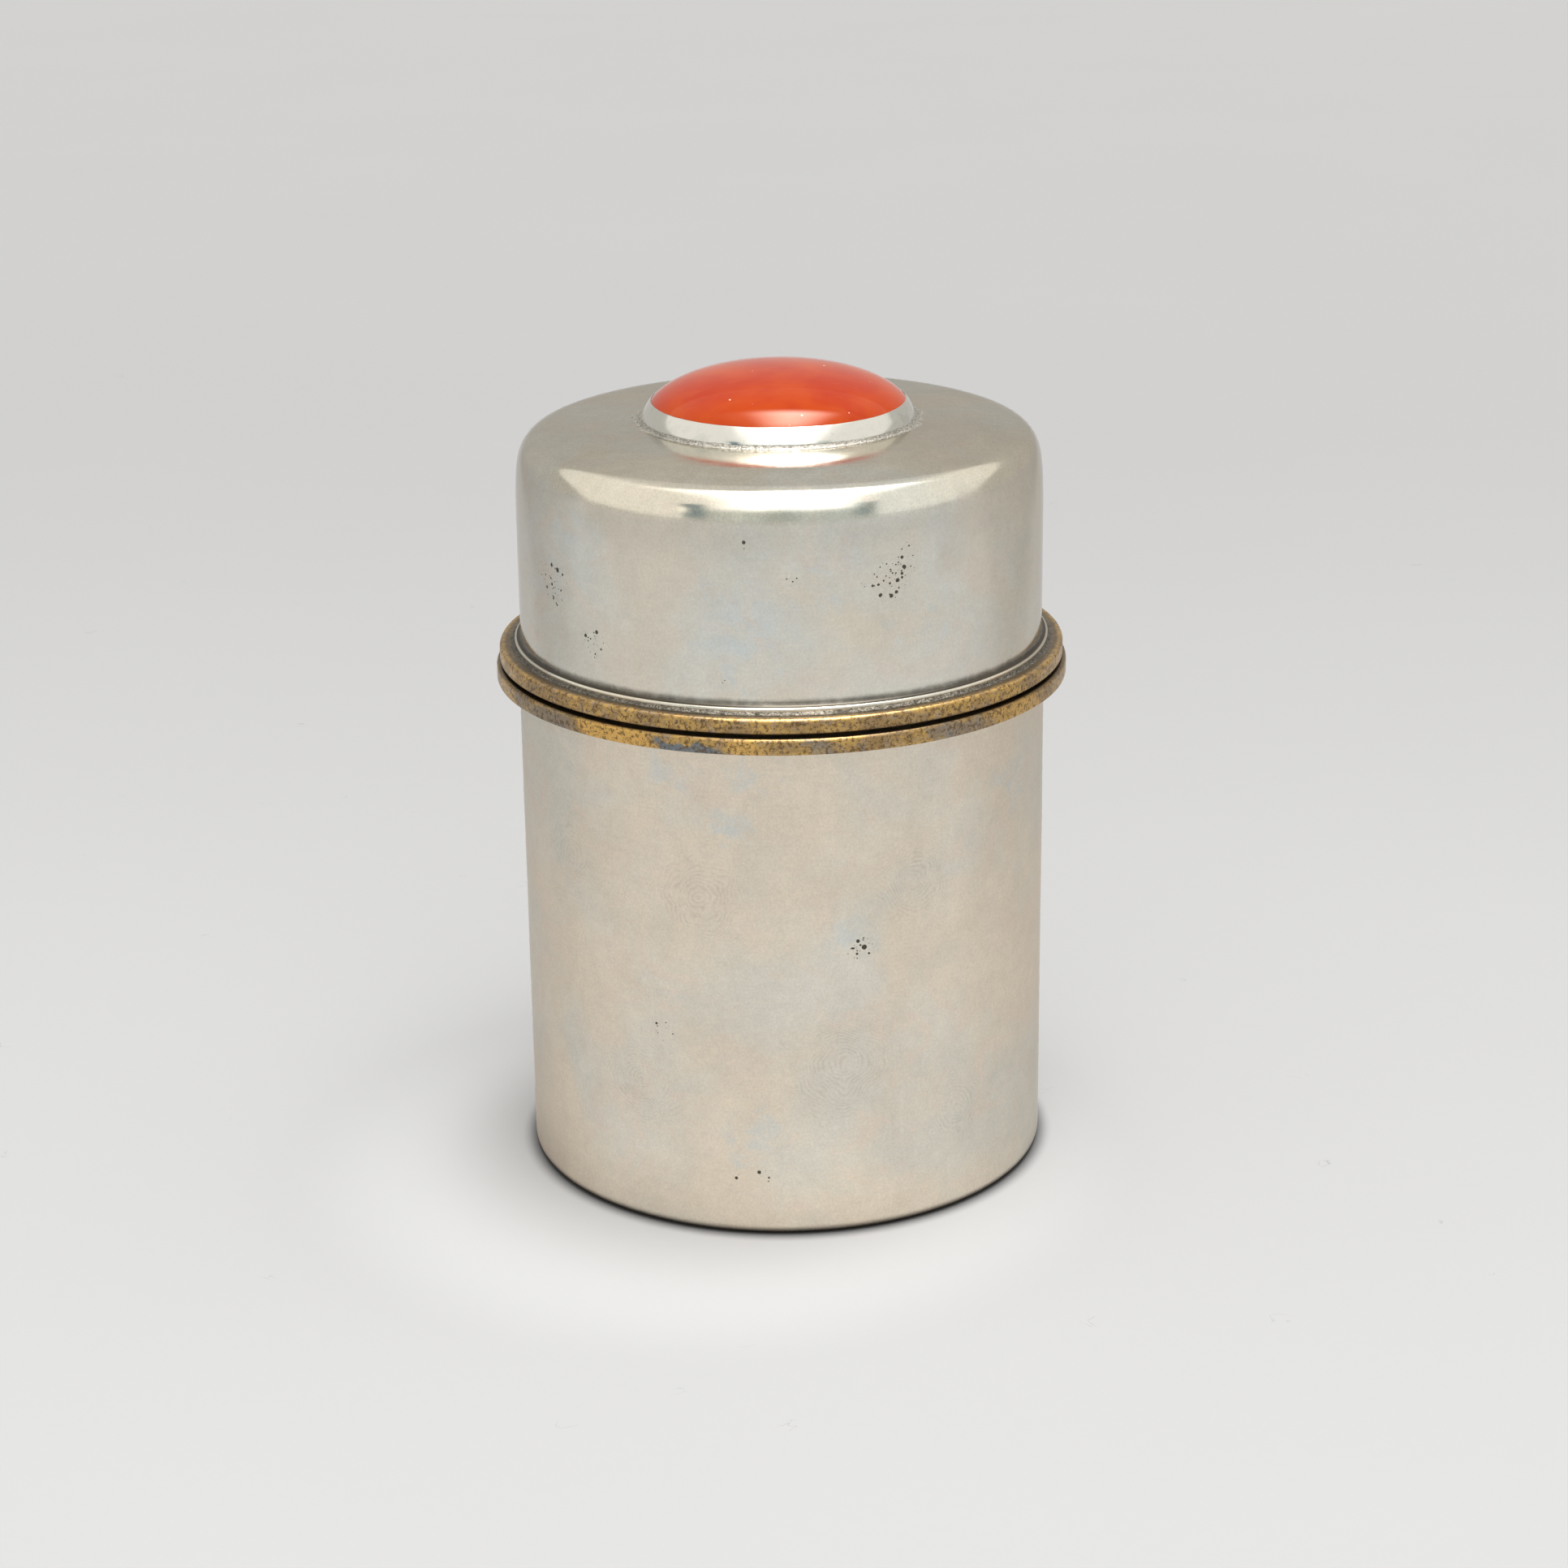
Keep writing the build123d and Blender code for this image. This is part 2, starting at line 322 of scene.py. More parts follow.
class Surface(Graph):
    """A material with one Principled shader and the places on the piece that its pattern needs."""

    def __init__(self, name, **constants):
        self.material = bpy.data.materials.new(name)
        self.material.use_nodes = True
        super().__init__(self.material.node_tree)
        self.place = self.add("ShaderNodeTexCoord", {}).outputs["Object"]
        x, y, z = self.parts(self.place)[:3]
        self.height = z
        self.radius = self.vector_math("LENGTH", self.joined(x, y, 0.0))
        self.x, self.y = x, y
        self.shader = self.add("ShaderNodeBsdfPrincipled", constants)
        output = self.add("ShaderNodeOutputMaterial", {})
        self.tree.links.new(self.shader.outputs[0], output.inputs[0])

    def turned_lines(self, spacing, length, detail=2.0):
        """Noise drawn out into lines that run round the axis, on walls and on flat faces alike."""
        across = self.math("SUBTRACT", self.radius, self.height)
        drawn = self.joined(
            self.math("DIVIDE", self.x, length),
            self.math("DIVIDE", self.y, length),
            self.math("DIVIDE", across, spacing),
        )
        return self.noise(drawn, 1.0, detail)

    def stain(self, angle, height, radius, size, soft=0.6, ragged=0.5):
        """1 inside a ragged patch at an angle in degrees from the front, to the right, and a height."""
        turn_by = math.radians(angle)
        centre = (radius * math.sin(turn_by), -radius * math.cos(turn_by), height)
        away = self.vector_math("DISTANCE", self.place, centre)
        edge = self.noise(self.place, size * 0.45, 3.0)
        torn = self.math("MULTIPLY", self.math("SUBTRACT", edge, 0.5), size * ragged * 2)
        return self.ramp(self.math("ADD", away, torn), size, size * (1 - soft), 0.0, 1.0)

    def bearing(self):
        """Angle in degrees round the axis from the front, to the right."""
        turned = self.math("ARCTAN2", self.x, self.math("MULTIPLY", self.y, -1.0))
        return self.math("MULTIPLY", turned, 180 / math.pi)

    def centred(self, value, amount):
        """A 0 to 1 pattern as a factor round 1 that swings by amount."""
        return self.math("ADD", self.math("MULTIPLY", value, amount), 1 - amount / 2)

    def shaded(self, colour, *factors):
        shade = factors[0]
        for factor in factors[1:]:
            shade = self.math("MULTIPLY", shade, factor)
        return self.mix(1.0, colour, self.joined(shade, shade, shade), "MULTIPLY")

    def any_of(self, masks):
        """The largest of several masks."""
        found = masks[0]
        for mask in masks[1:]:
            found = self.math("MAXIMUM", found, mask)
        return found

    def dots(self, spacing, largest, rarity, crowd=None):
        """Scattered round dots of many sizes, most of them tiny, crowded where crowd is 1."""
        bent = self.noise(self.place, spacing * 0.5, 1.0)
        away, own = self.cells(self.place, spacing)
        away = self.math("ADD", away, self.math("MULTIPLY", self.math("SUBTRACT", bent, 0.5), 0.10))
        size = self.math("MULTIPLY", self.math("POWER", self.parts(own)[0], rarity), largest)
        if crowd is not None:
            size = self.math("MULTIPLY", size, crowd)
        dot = self.ramp(self.math("SUBTRACT", away, size), 0.02, -0.02, 0.0, 1.0)
        return self.math("MULTIPLY", dot, self.ramp(size, 0.03, 0.06, 0.0, 1.0))

    def finger_print(self, angle, height, radius, size):
        """Fine ridges that loop round a spot on the wall, in a soft patch."""
        turn_by = math.radians(angle)
        centre = (radius * math.sin(turn_by), -radius * math.cos(turn_by), height)
        away = self.vector_math("DISTANCE", self.place, centre)
        bent = self.noise(self.place, 5 * MM, 2.0, 0.4)
        away = self.math("ADD", away, self.math("MULTIPLY", bent, 5 * MM))
        ridge = self.math("SINE", self.math("MULTIPLY", away, 2 * math.pi / RIDGE_SPACING))
        patch = self.stain(angle, height, radius, size, 0.7, 0.5)
        faint = self.ramp(self.noise(self.place, 1.6 * MM, 3.0, 0.6), 0.35, 0.60)
        return self.math("MULTIPLY", self.math("MULTIPLY", patch, faint), self.ramp(ridge, -0.6, 0.9))

    def set(self, **inputs):
        for name, value in inputs.items():
            self.feed(self.shader.inputs[name.replace("_", " ")], value)


def nickel_silver(name, warm, cool, rosy, haze, blue_stains, pit_crowds, frost, prints, cove, smooth):
    """Satin nickel silver with cloudy tarnish, fine turned lines, faint stains and black pits."""
    g = Surface(name, Metallic=1.0)
    clouds = g.noise(g.place, 19 * MM, 4.0, 0.55, 0.5)
    patches = g.noise(g.scaled(g.place, 1, 1, 0.8), 8 * MM, 4.0, 0.62, 0.7)
    rose = g.noise(g.scaled(g.place, 1, 1, 1.2), 7 * MM, 3.0, 0.6, 1.0)
    mottle = g.noise(g.place, 1.5 * MM, 3.0, 0.65, 0.4)
    grain = g.noise(g.place, 0.26 * MM, 2.0, 0.7)
    lines = g.turned_lines(0.07 * MM, 4 * MM)
    wide_lines = g.turned_lines(0.5 * MM, 26 * MM)
    colour = g.mix(g.ramp(clouds, 0.38, 0.62), warm, cool)
    if blue_stains:
        blue = g.any_of([g.stain(*stain, 1.0, 0.9) for stain in blue_stains])
        torn = g.ramp(g.noise(g.place, 3.4 * MM, 5.0, 0.65, 0.6), 0.40, 0.62)
        blue = g.math("MULTIPLY", blue, g.math("MULTIPLY", torn, 0.85))
        colour = g.mix(blue, colour, (cool[0] * 0.91, cool[1] * 0.98, cool[2] * 1.07))
    colour = g.mix(g.math("MULTIPLY", g.ramp(rose, 0.50, 0.66), 0.55), colour, rosy)
    # Painted shade: the metal is made up to 6 % darker towards its left and right sides, seen from the
    # front.
    side_painted_shade = g.ramp(g.math("ABSOLUTE", g.bearing()), 34.0, 54.0, 1.0, 0.94)
    colour = g.shaded(
        colour, g.centred(patches, haze), g.centred(mottle, 0.16), g.centred(grain, 0.34),
        g.centred(lines, 0.06), g.centred(wide_lines, 0.05), side_painted_shade,
    )
    hazy = g.ramp(patches, 0.3, 0.75, smooth, smooth + 0.06)
    rough = g.math("ADD", hazy, g.math("MULTIPLY", grain, 0.04))
    if frost:
        frosted = g.any_of([g.stain(*stain) for stain in frost])
        crumbs = g.ramp(g.noise(g.place, 0.34 * MM, 2.0, 0.6), 0.38, 0.62)
        crumbs_light = g.math("MULTIPLY", frosted, g.math("MULTIPLY", crumbs, 0.30))
        colour = g.mix(crumbs_light, colour, FROST_GLINT)
        colour = g.mix(g.math("MULTIPLY", frosted, 0.25), colour, FROST_SHADE)
        rough = g.math("ADD", rough, g.math("MULTIPLY", frosted, 0.10))
    if cove:
        low, high, outer_r = cove
        uneven = g.math("MULTIPLY", g.math("SUBTRACT", mottle, 0.5), 0.4 * MM)
        level = g.math("ADD", g.height, uneven)
        # Darker and rougher low on the lid wall and in the cove at its foot.
        cove_darkening = g.math("MULTIPLY", g.ramp(level, high, low), g.ramp(g.radius, outer_r + 0.08 * MM, outer_r))
        colour = g.mix(g.math("MULTIPLY", cove_darkening, 0.95), colour, COVE_DARK)
        rough = g.math("ADD", rough, g.math("MULTIPLY", cove_darkening, 0.25))
    if prints:
        ridges = g.any_of([g.finger_print(*mark) for mark in prints])
        colour = g.shaded(colour, g.math("SUBTRACT", 1.02, g.math("MULTIPLY", ridges, 0.10)))
    crowd = g.math("MULTIPLY", g.any_of([g.stain(*crowd) for crowd in pit_crowds]), 0.90)
    crowd = g.math("ADD", crowd, 0.06)
    pit = g.any_of([g.dots(0.62 * MM, 0.52, 1.8, crowd), g.dots(0.33 * MM, 0.40, 2.2, crowd)])
    grime = g.ramp(g.noise(g.place, 0.45 * MM, 3.0, 0.7), 0.62, 0.74)
    colour = g.mix(g.math("MULTIPLY", grime, g.math("MULTIPLY", crowd, 0.45)), colour, PIT_GRIME)
    colour = g.mix(g.math("MULTIPLY", pit, 0.9), colour, PIT_BLACK)
    rough = g.math("ADD", rough, g.math("MULTIPLY", pit, 0.4))
    relief = g.math("ADD", g.math("MULTIPLY", grain, 0.4), g.math("MULTIPLY", lines, 0.5))
    relief = g.math("SUBTRACT", relief, g.math("MULTIPLY", pit, 3.0))
    g.set(Base_Color=colour, Roughness=rough, Normal=g.bump(relief, 0.010 * MM, 0.22))
    g.shader.inputs["Specular Tint"].default_value = (0.80, 0.78, 0.76, 1)
    return g.material


def tarnished_brass(name, gold, brown, grey, blue, gold_sectors, blue_sectors):
    """Old brass: golden where it is rubbed, brown and grey-purple elsewhere, with blue stains.

    A sector is a start and an end angle in degrees, a low and a high height, and a strength.
    """
    g = Surface(name, Metallic=1.0)
    zones = g.noise(g.scaled(g.place, 1, 1, 1.8), 4.5 * MM, 4.0, 0.7, 0.8)
    spots = g.noise(g.place, 0.9 * MM, 4.0, 0.7, 0.5)
    speck = g.noise(g.place, 0.42 * MM, 3.0, 0.75)
    grain = g.noise(g.place, 0.24 * MM, 2.0, 0.6)
    lines = g.turned_lines(0.10 * MM, 4 * MM)
    bearing = g.bearing()
    ragged = g.math("SUBTRACT", g.noise(g.place, 1.4 * MM, 4.0, 0.65), 0.5)
    slant = g.math("MULTIPLY", g.math("SUBTRACT", g.height, BODY_RING_LOW_Z), 1.4 / MM)
    slanted = g.math("ADD", g.math("ADD", bearing, slant), g.math("MULTIPLY", ragged, 5.0))
    level = g.math("ADD", g.height, g.math("MULTIPLY", ragged, 2.2 * MM))

    def sector(start, end, low, high, strength):
        along = g.between(slanted, start - 0.6, start + 0.6, end - 1.5, end + 1.5)
        up = g.between(level, low, low + 0.25 * MM, high - 0.25 * MM, high)
        return g.math("MULTIPLY", g.math("MULTIPLY", along, up), strength)

    colour = g.mix(g.ramp(zones, 0.40, 0.60), gold, brown)
    colour = g.mix(g.math("MULTIPLY", g.ramp(spots, 0.50, 0.66), 0.65), colour, grey)
    blued = g.ramp(g.noise(g.place, 2.6 * MM, 4.0, 0.7, 1.2), 0.58, 0.70)
    colour = g.mix(g.math("MULTIPLY", blued, 0.55), colour, blue)
    if gold_sectors:
        rubbed = g.any_of([sector(*piece) for piece in gold_sectors])
        colour = g.mix(rubbed, colour, (gold[0] * 1.25, gold[1] * 1.18, gold[2] * 1.05))
    if blue_sectors:
        colour = g.mix(g.any_of([sector(*piece) for piece in blue_sectors]), colour, blue)
    dark_specks = g.math("MULTIPLY", g.ramp(speck, 0.49, 0.60), 0.82)
    colour = g.mix(dark_specks, colour, (brown[0] * 0.35, brown[1] * 0.33, brown[2] * 0.40))
    colour = g.shaded(colour, g.centred(grain, 0.55), g.centred(lines, 0.20), g.centred(spots, 0.40))
    # Painted shade on the ring edges that face the narrow space between the two rings.
    near, far = 0.2 * MM, 0.5 * MM
    gap = g.between(g.height, JOINT_Z - far, JOINT_Z - near, JOINT_Z + near, JOINT_Z + far)
    colour = g.mix(g.math("MULTIPLY", gap, 0.75), colour, GAP_SHADE)
    # Darker on the lid ring's top face and inner side, beside the lid.
    beside_lid = g.ramp(g.radius, 31.75 * MM, 31.25 * MM)
    inner = g.math("MULTIPLY", beside_lid, g.ramp(g.height, JOINT_Z, JOINT_Z + 1 * MM))
    colour = g.mix(g.math("MULTIPLY", inner, 0.75), colour, RING_TOP_DARK)
    rough = g.math("ADD", g.ramp(zones, 0.3, 0.7, 0.28, 0.34), g.math("MULTIPLY", speck, 0.10))
    relief = g.math("ADD", g.math("MULTIPLY", grain, 0.6), g.math("MULTIPLY", speck, 0.5))
    g.set(Base_Color=colour, Roughness=rough, Normal=g.bump(relief, 0.018 * MM, 0.4))
    return g.material


def grainy_solder(name, light, dark):
    """Sandy silver solder, bright on its grains and dark between them."""
    g = Surface(name, Metallic=1.0)
    grain = g.noise(g.place, 0.16 * MM, 3.0, 0.7)
    lumps = g.noise(g.place, 1.1 * MM, 3.0, 0.6)
    colour = g.mix(g.ramp(grain, 0.38, 0.58), dark, light)
    colour = g.mix(g.ramp(lumps, 0.48, 0.72, 0.0, 0.7), colour, dark)
    rough = g.ramp(lumps, 0.3, 0.7, 0.40, 0.60)
    g.set(Base_Color=colour, Roughness=rough, Normal=g.bump(grain, 0.05 * MM, 0.8))
    return g.material


def polished_strip(name, light, dark):
    """Burnished bezel metal with fine rubbed lines, small dull spots and a darker foot."""
    g = Surface(name, Metallic=1.0)
    lines = g.turned_lines(0.09 * MM, 2.5 * MM)
    spots = g.noise(g.place, 0.9 * MM, 3.0, 0.6)
    dull = g.noise(g.place, 3.2 * MM, 3.0, 0.6, 0.6)
    colour = g.mix(g.ramp(spots, 0.50, 0.80, 0.0, 0.22), light, dark)
    bluish = (dark[0] * 0.9, dark[1] * 0.98, dark[2] * 1.02)
    colour = g.mix(g.ramp(dull, 0.54, 0.72, 0.0, 0.35), colour, bluish)
    level = g.math("ADD", g.height, g.math("MULTIPLY", spots, 0.3 * MM))
    # Darker towards the foot of the strip.
    foot = g.ramp(level, LID_TOP_Z + 0.66 * MM, LID_TOP_Z + 0.45 * MM)
    colour = g.mix(g.math("MULTIPLY", foot, 0.85), colour, BEZEL_FOOT_DARK)
    rough = g.math("ADD", g.ramp(spots, 0.35, 0.75, 0.09, 0.20), g.math("MULTIPLY", lines, 0.05))
    g.set(Base_Color=colour, Roughness=rough, Normal=g.bump(g.math("ADD", lines, spots), 0.012 * MM, 0.35))
    return g.material


def polished_stone(name, deep, light, pale):
    """Opaque orange-red stone with faint clouds, a glossy skin, rubbed rings and tiny pale specks."""
    g = Surface(name, IOR=1.5)
    g.shader.inputs["Specular IOR Level"].default_value = 0.34
    g.shader.inputs["Specular Tint"].default_value = (1.0, 0.72, 0.56, 1)
    clouds = g.noise(g.place, 9 * MM, 3.0, 0.5, 0.3)
    veins = g.noise(g.scaled(g.place, 1, 2.4, 1), 2.6 * MM, 4.0, 0.6, 0.8)
    colour = g.mix(g.ramp(clouds, 0.34, 0.66), deep, light)
    colour = g.mix(g.ramp(veins, 0.52, 0.78, 0.0, 0.16), colour, pale)
    speck = g.dots(1.3 * MM, 0.12, 5.0)
    colour = g.mix(g.math("MULTIPLY", speck, 0.7), colour, STONE_SPECK)
    scuffs = g.turned_lines(0.10 * MM, 9 * MM, 3.0)
    rough = g.math("ADD", g.ramp(scuffs, 0.30, 0.75, 0.04, 0.085), g.ramp(veins, 0.4, 0.8, 0.0, 0.03))
    g.set(Base_Color=colour, Roughness=rough, Normal=g.bump(scuffs, 0.0015 * MM, 0.3))
    return g.material


def paper_floor(name):
    """Pale background paper with a faint tooth and a few specks of lint. Its tone carries painted light
    and shade: greyer towards the back, darker out to the sides and far out in front, a painted contact
    shadow under the box's edge and a painted pool of light round its foot.
    """
    g = Surface(name, Roughness=0.8)
    tooth = g.noise(g.place, 1.6 * MM, 4.0, 0.7)
    waves = g.noise(g.place, 90 * MM, 2.0)
    # Painted shade: the paper greys from the near colour to the far one towards the back.
    colour = g.mix(g.ramp(g.y, -220 * MM, 380 * MM), PAPER_NEAR, PAPER_FAR)
    # Painted shade: the paper is darker out to the sides, behind the box.
    outside = g.math("SUBTRACT", g.math("ABSOLUTE", g.x), g.math("MULTIPLY", g.y, 0.27))
    sides = g.math("MULTIPLY", g.ramp(outside, 112 * MM, 190 * MM), g.ramp(g.y, -40 * MM, 70 * MM))
    sides = g.math("SUBTRACT", 1.0, g.math("MULTIPLY", sides, 0.22))
    # Painted shade: the paper darkens far out in front of the box.
    front = g.ramp(g.y, 40 * MM, -40 * MM)
    near_fall = g.ramp(g.radius, 105 * MM, 260 * MM, 0.0, 0.15)
    far_fall = g.ramp(g.radius, 230 * MM, 520 * MM, 0.0, 0.16)
    painted_front_shade = g.math("SUBTRACT", 1.0, g.math("MULTIPLY", g.math("ADD", near_fall, far_fall), front))
    # A painted pool of light: the paper is brighter round the box's foot, a little to the left and front.
    beside = g.vector_math("DISTANCE", g.place, (-9 * MM, -10 * MM, 0))
    painted_bounce_light = g.ramp(beside, 51 * MM, 30 * MM, 1.0, 1.22)
    # A painted contact shadow: the paper is dark right under the box's edge.
    painted_contact_shadow = g.ramp(g.radius, 29.2 * MM, 31.8 * MM, 0.10, 1.0)
    colour = g.shaded(colour, sides, painted_front_shade, painted_bounce_light, painted_contact_shadow, g.centred(waves, 0.03), g.centred(tooth, 0.02))
    fibre = g.joined(g.x, g.y, 0.0)
    bent = g.noise(fibre, 5 * MM, 2.0, 0.5, 1.5)
    thin = g.ramp(g.math("ABSOLUTE", g.math("SUBTRACT", bent, 0.5)), 0.010, 0.002)
    away, own = g.cells(fibre, 11 * MM)
    chosen = g.math("MULTIPLY", g.ramp(g.parts(own)[0], 0.55, 0.57), g.ramp(away, 0.13, 0.10))
    colour = g.mix(g.math("MULTIPLY", g.math("MULTIPLY", thin, chosen), 0.55), colour, PAPER_LINT)
    g.set(Base_Color=colour, Normal=g.bump(tooth, 0.05 * MM, 0.25))
    return g.material


# Colours of the floor, and marks on the metal. A blue stain, a crowd of pits, a finger mark or a frosted
# patch is an angle from the front, a height, the wall's radius and a size.
# The near and far floor colours; the greying from one to the other is painted shade.
PAPER_NEAR = (0.286, 0.288, 0.295)
PAPER_FAR = (0.214, 0.214, 0.217)
PAPER_LINT = (0.15, 0.15, 0.145)

BLUE_ON_BODY = [
    (-6, 54.5 * MM, BODY_R, 4.5 * MM),
    (-24, 53.8 * MM, BODY_R, 4.5 * MM),
    (-12, 48.0 * MM, BODY_R, 4.0 * MM),
    (58, 48.0 * MM, BODY_R, 5.0 * MM),
    (-7, 12.0 * MM, BODY_R, 5.0 * MM),
    (14, 35.0 * MM, BODY_R, 4.0 * MM),
]
PITS_ON_BODY = [
    (-27, 23.6 * MM, BODY_R, 1.6 * MM),
    (-12, 7.0 * MM, BODY_R, 1.3 * MM),
    (-5, 7.5 * MM, BODY_R, 1.3 * MM),
    (16, 34.0 * MM, BODY_R, 2.0 * MM),
    (43, 28.8 * MM, BODY_R, 0.6 * MM),
]
PRINTS_ON_BODY = [
    (-52, 42.0 * MM, BODY_R, 6.0 * MM),
    (-18, 40.0 * MM, BODY_R, 7.0 * MM),
    (28, 41.0 * MM, BODY_R, 6.0 * MM),
    (-33, 17.0 * MM, BODY_R, 7.0 * MM),
    (12, 20.0 * MM, BODY_R, 7.5 * MM),
    (40, 12.0 * MM, BODY_R, 5.0 * MM),
    (150, 30.0 * MM, BODY_R, 8.0 * MM),
    (-130, 44.0 * MM, BODY_R, 7.0 * MM),
]
BLUE_ON_LID = [
    (-8, 71.0 * MM, LID_R, 8.0 * MM),
    (10, 76.0 * MM, LID_R, 5.0 * MM),
    (-50, 79.0 * MM, LID_R, 4.0 * MM),
    (-10, 66.0 * MM, LID_R, 6.0 * MM),
    (30, 70.0 * MM, LID_R, 5.0 * MM),
]
PITS_ON_LID = [
    (-56, 72.5 * MM, LID_R, 3.6 * MM),
    (-43, 67.0 * MM, LID_R, 2.2 * MM),
    (26, 77.0 * MM, LID_R, 2.2 * MM),
    (22, 75.0 * MM, LID_R, 3.0 * MM),
    (-7, 80.0 * MM, LID_R, 0.8 * MM),
    (2, 75.7 * MM, LID_R, 1.0 * MM),
    (-12, 64.6 * MM, LID_R, 0.6 * MM),
    (8, 64.3 * MM, LID_R, 0.6 * MM),
]
FROST_ON_LID = [
    (44, 80.5 * MM, LID_R, 4.5 * MM),
    (38, 77.0 * MM, LID_R, 3.0 * MM),
]

silver_body = nickel_silver(
    "nickel_silver_body", (0.765, 0.672, 0.550), (0.705, 0.668, 0.585), (0.760, 0.648, 0.540), 0.24,
    BLUE_ON_BODY, PITS_ON_BODY, [], PRINTS_ON_BODY, None, 0.28,
)
silver_lid = nickel_silver(
    "nickel_silver_lid", (0.770, 0.715, 0.605), (0.750, 0.745, 0.680), (0.780, 0.690, 0.595), 0.20,
    BLUE_ON_LID, PITS_ON_LID, FROST_ON_LID, [], (62.1 * MM, 63.0 * MM, LID_R + 0.42 * MM), 0.085,
)
silver_divider = nickel_silver(
    "nickel_silver_divider", (0.68, 0.63, 0.54), (0.64, 0.62, 0.56), (0.60, 0.54, 0.46), 0.25,
    [], [(0, 40 * MM, 0.0, 3 * MM)], [], [], None, 0.30,
)
brass_ring = tarnished_brass(
    "brass_ring", (0.60, 0.385, 0.130), (0.38, 0.250, 0.115), (0.33, 0.272, 0.225), (0.15, 0.20, 0.24),
    [
        (-41, -24, BODY_RING_LOW_Z - 1 * MM, BODY_RING_TOP_Z + 0.3 * MM, 0.85),
        (-9, -3, BODY_RING_LOW_Z - 1 * MM, BODY_RING_TOP_Z, 0.7),
        (47, 62, BODY_RING_LOW_Z - 1 * MM, BODY_RING_TOP_Z + 0.3 * MM, 0.45),
    ],
    [
        (-64, -43, BODY_RING_LOW_Z - 1 * MM, BODY_RING_TOP_Z, 0.40),
        (-24, -11, BODY_RING_LOW_Z - 1 * MM, BODY_RING_LOW_Z + 1.1 * MM, 0.85),
        (6, 10, BODY_RING_LOW_Z - 1 * MM, BODY_RING_TOP_Z, 0.40),
        (30, 44, BODY_RING_LOW_Z - 1 * MM, BODY_RING_TOP_Z, 0.35),
    ],
)
brass_sleeve = tarnished_brass(
    "brass_sleeve", (0.70, 0.52, 0.24), (0.55, 0.41, 0.20), (0.42, 0.34, 0.22), (0.38, 0.34, 0.26), [], []
)
solder = grainy_solder("solder", (0.17, 0.155, 0.13), (0.034, 0.029, 0.023))
bezel_solder = grainy_solder("bezel_solder", (0.42, 0.40, 0.36), (0.15, 0.138, 0.118))
bezel_metal = polished_strip("bezel_metal", (0.76, 0.75, 0.70), (0.50, 0.48, 0.41))
stone = polished_stone("stone", (0.245, 0.015, 0.0003), (0.285, 0.030, 0.0006), (0.33, 0.070, 0.015))


# ---------------------------------------------------------------- the body

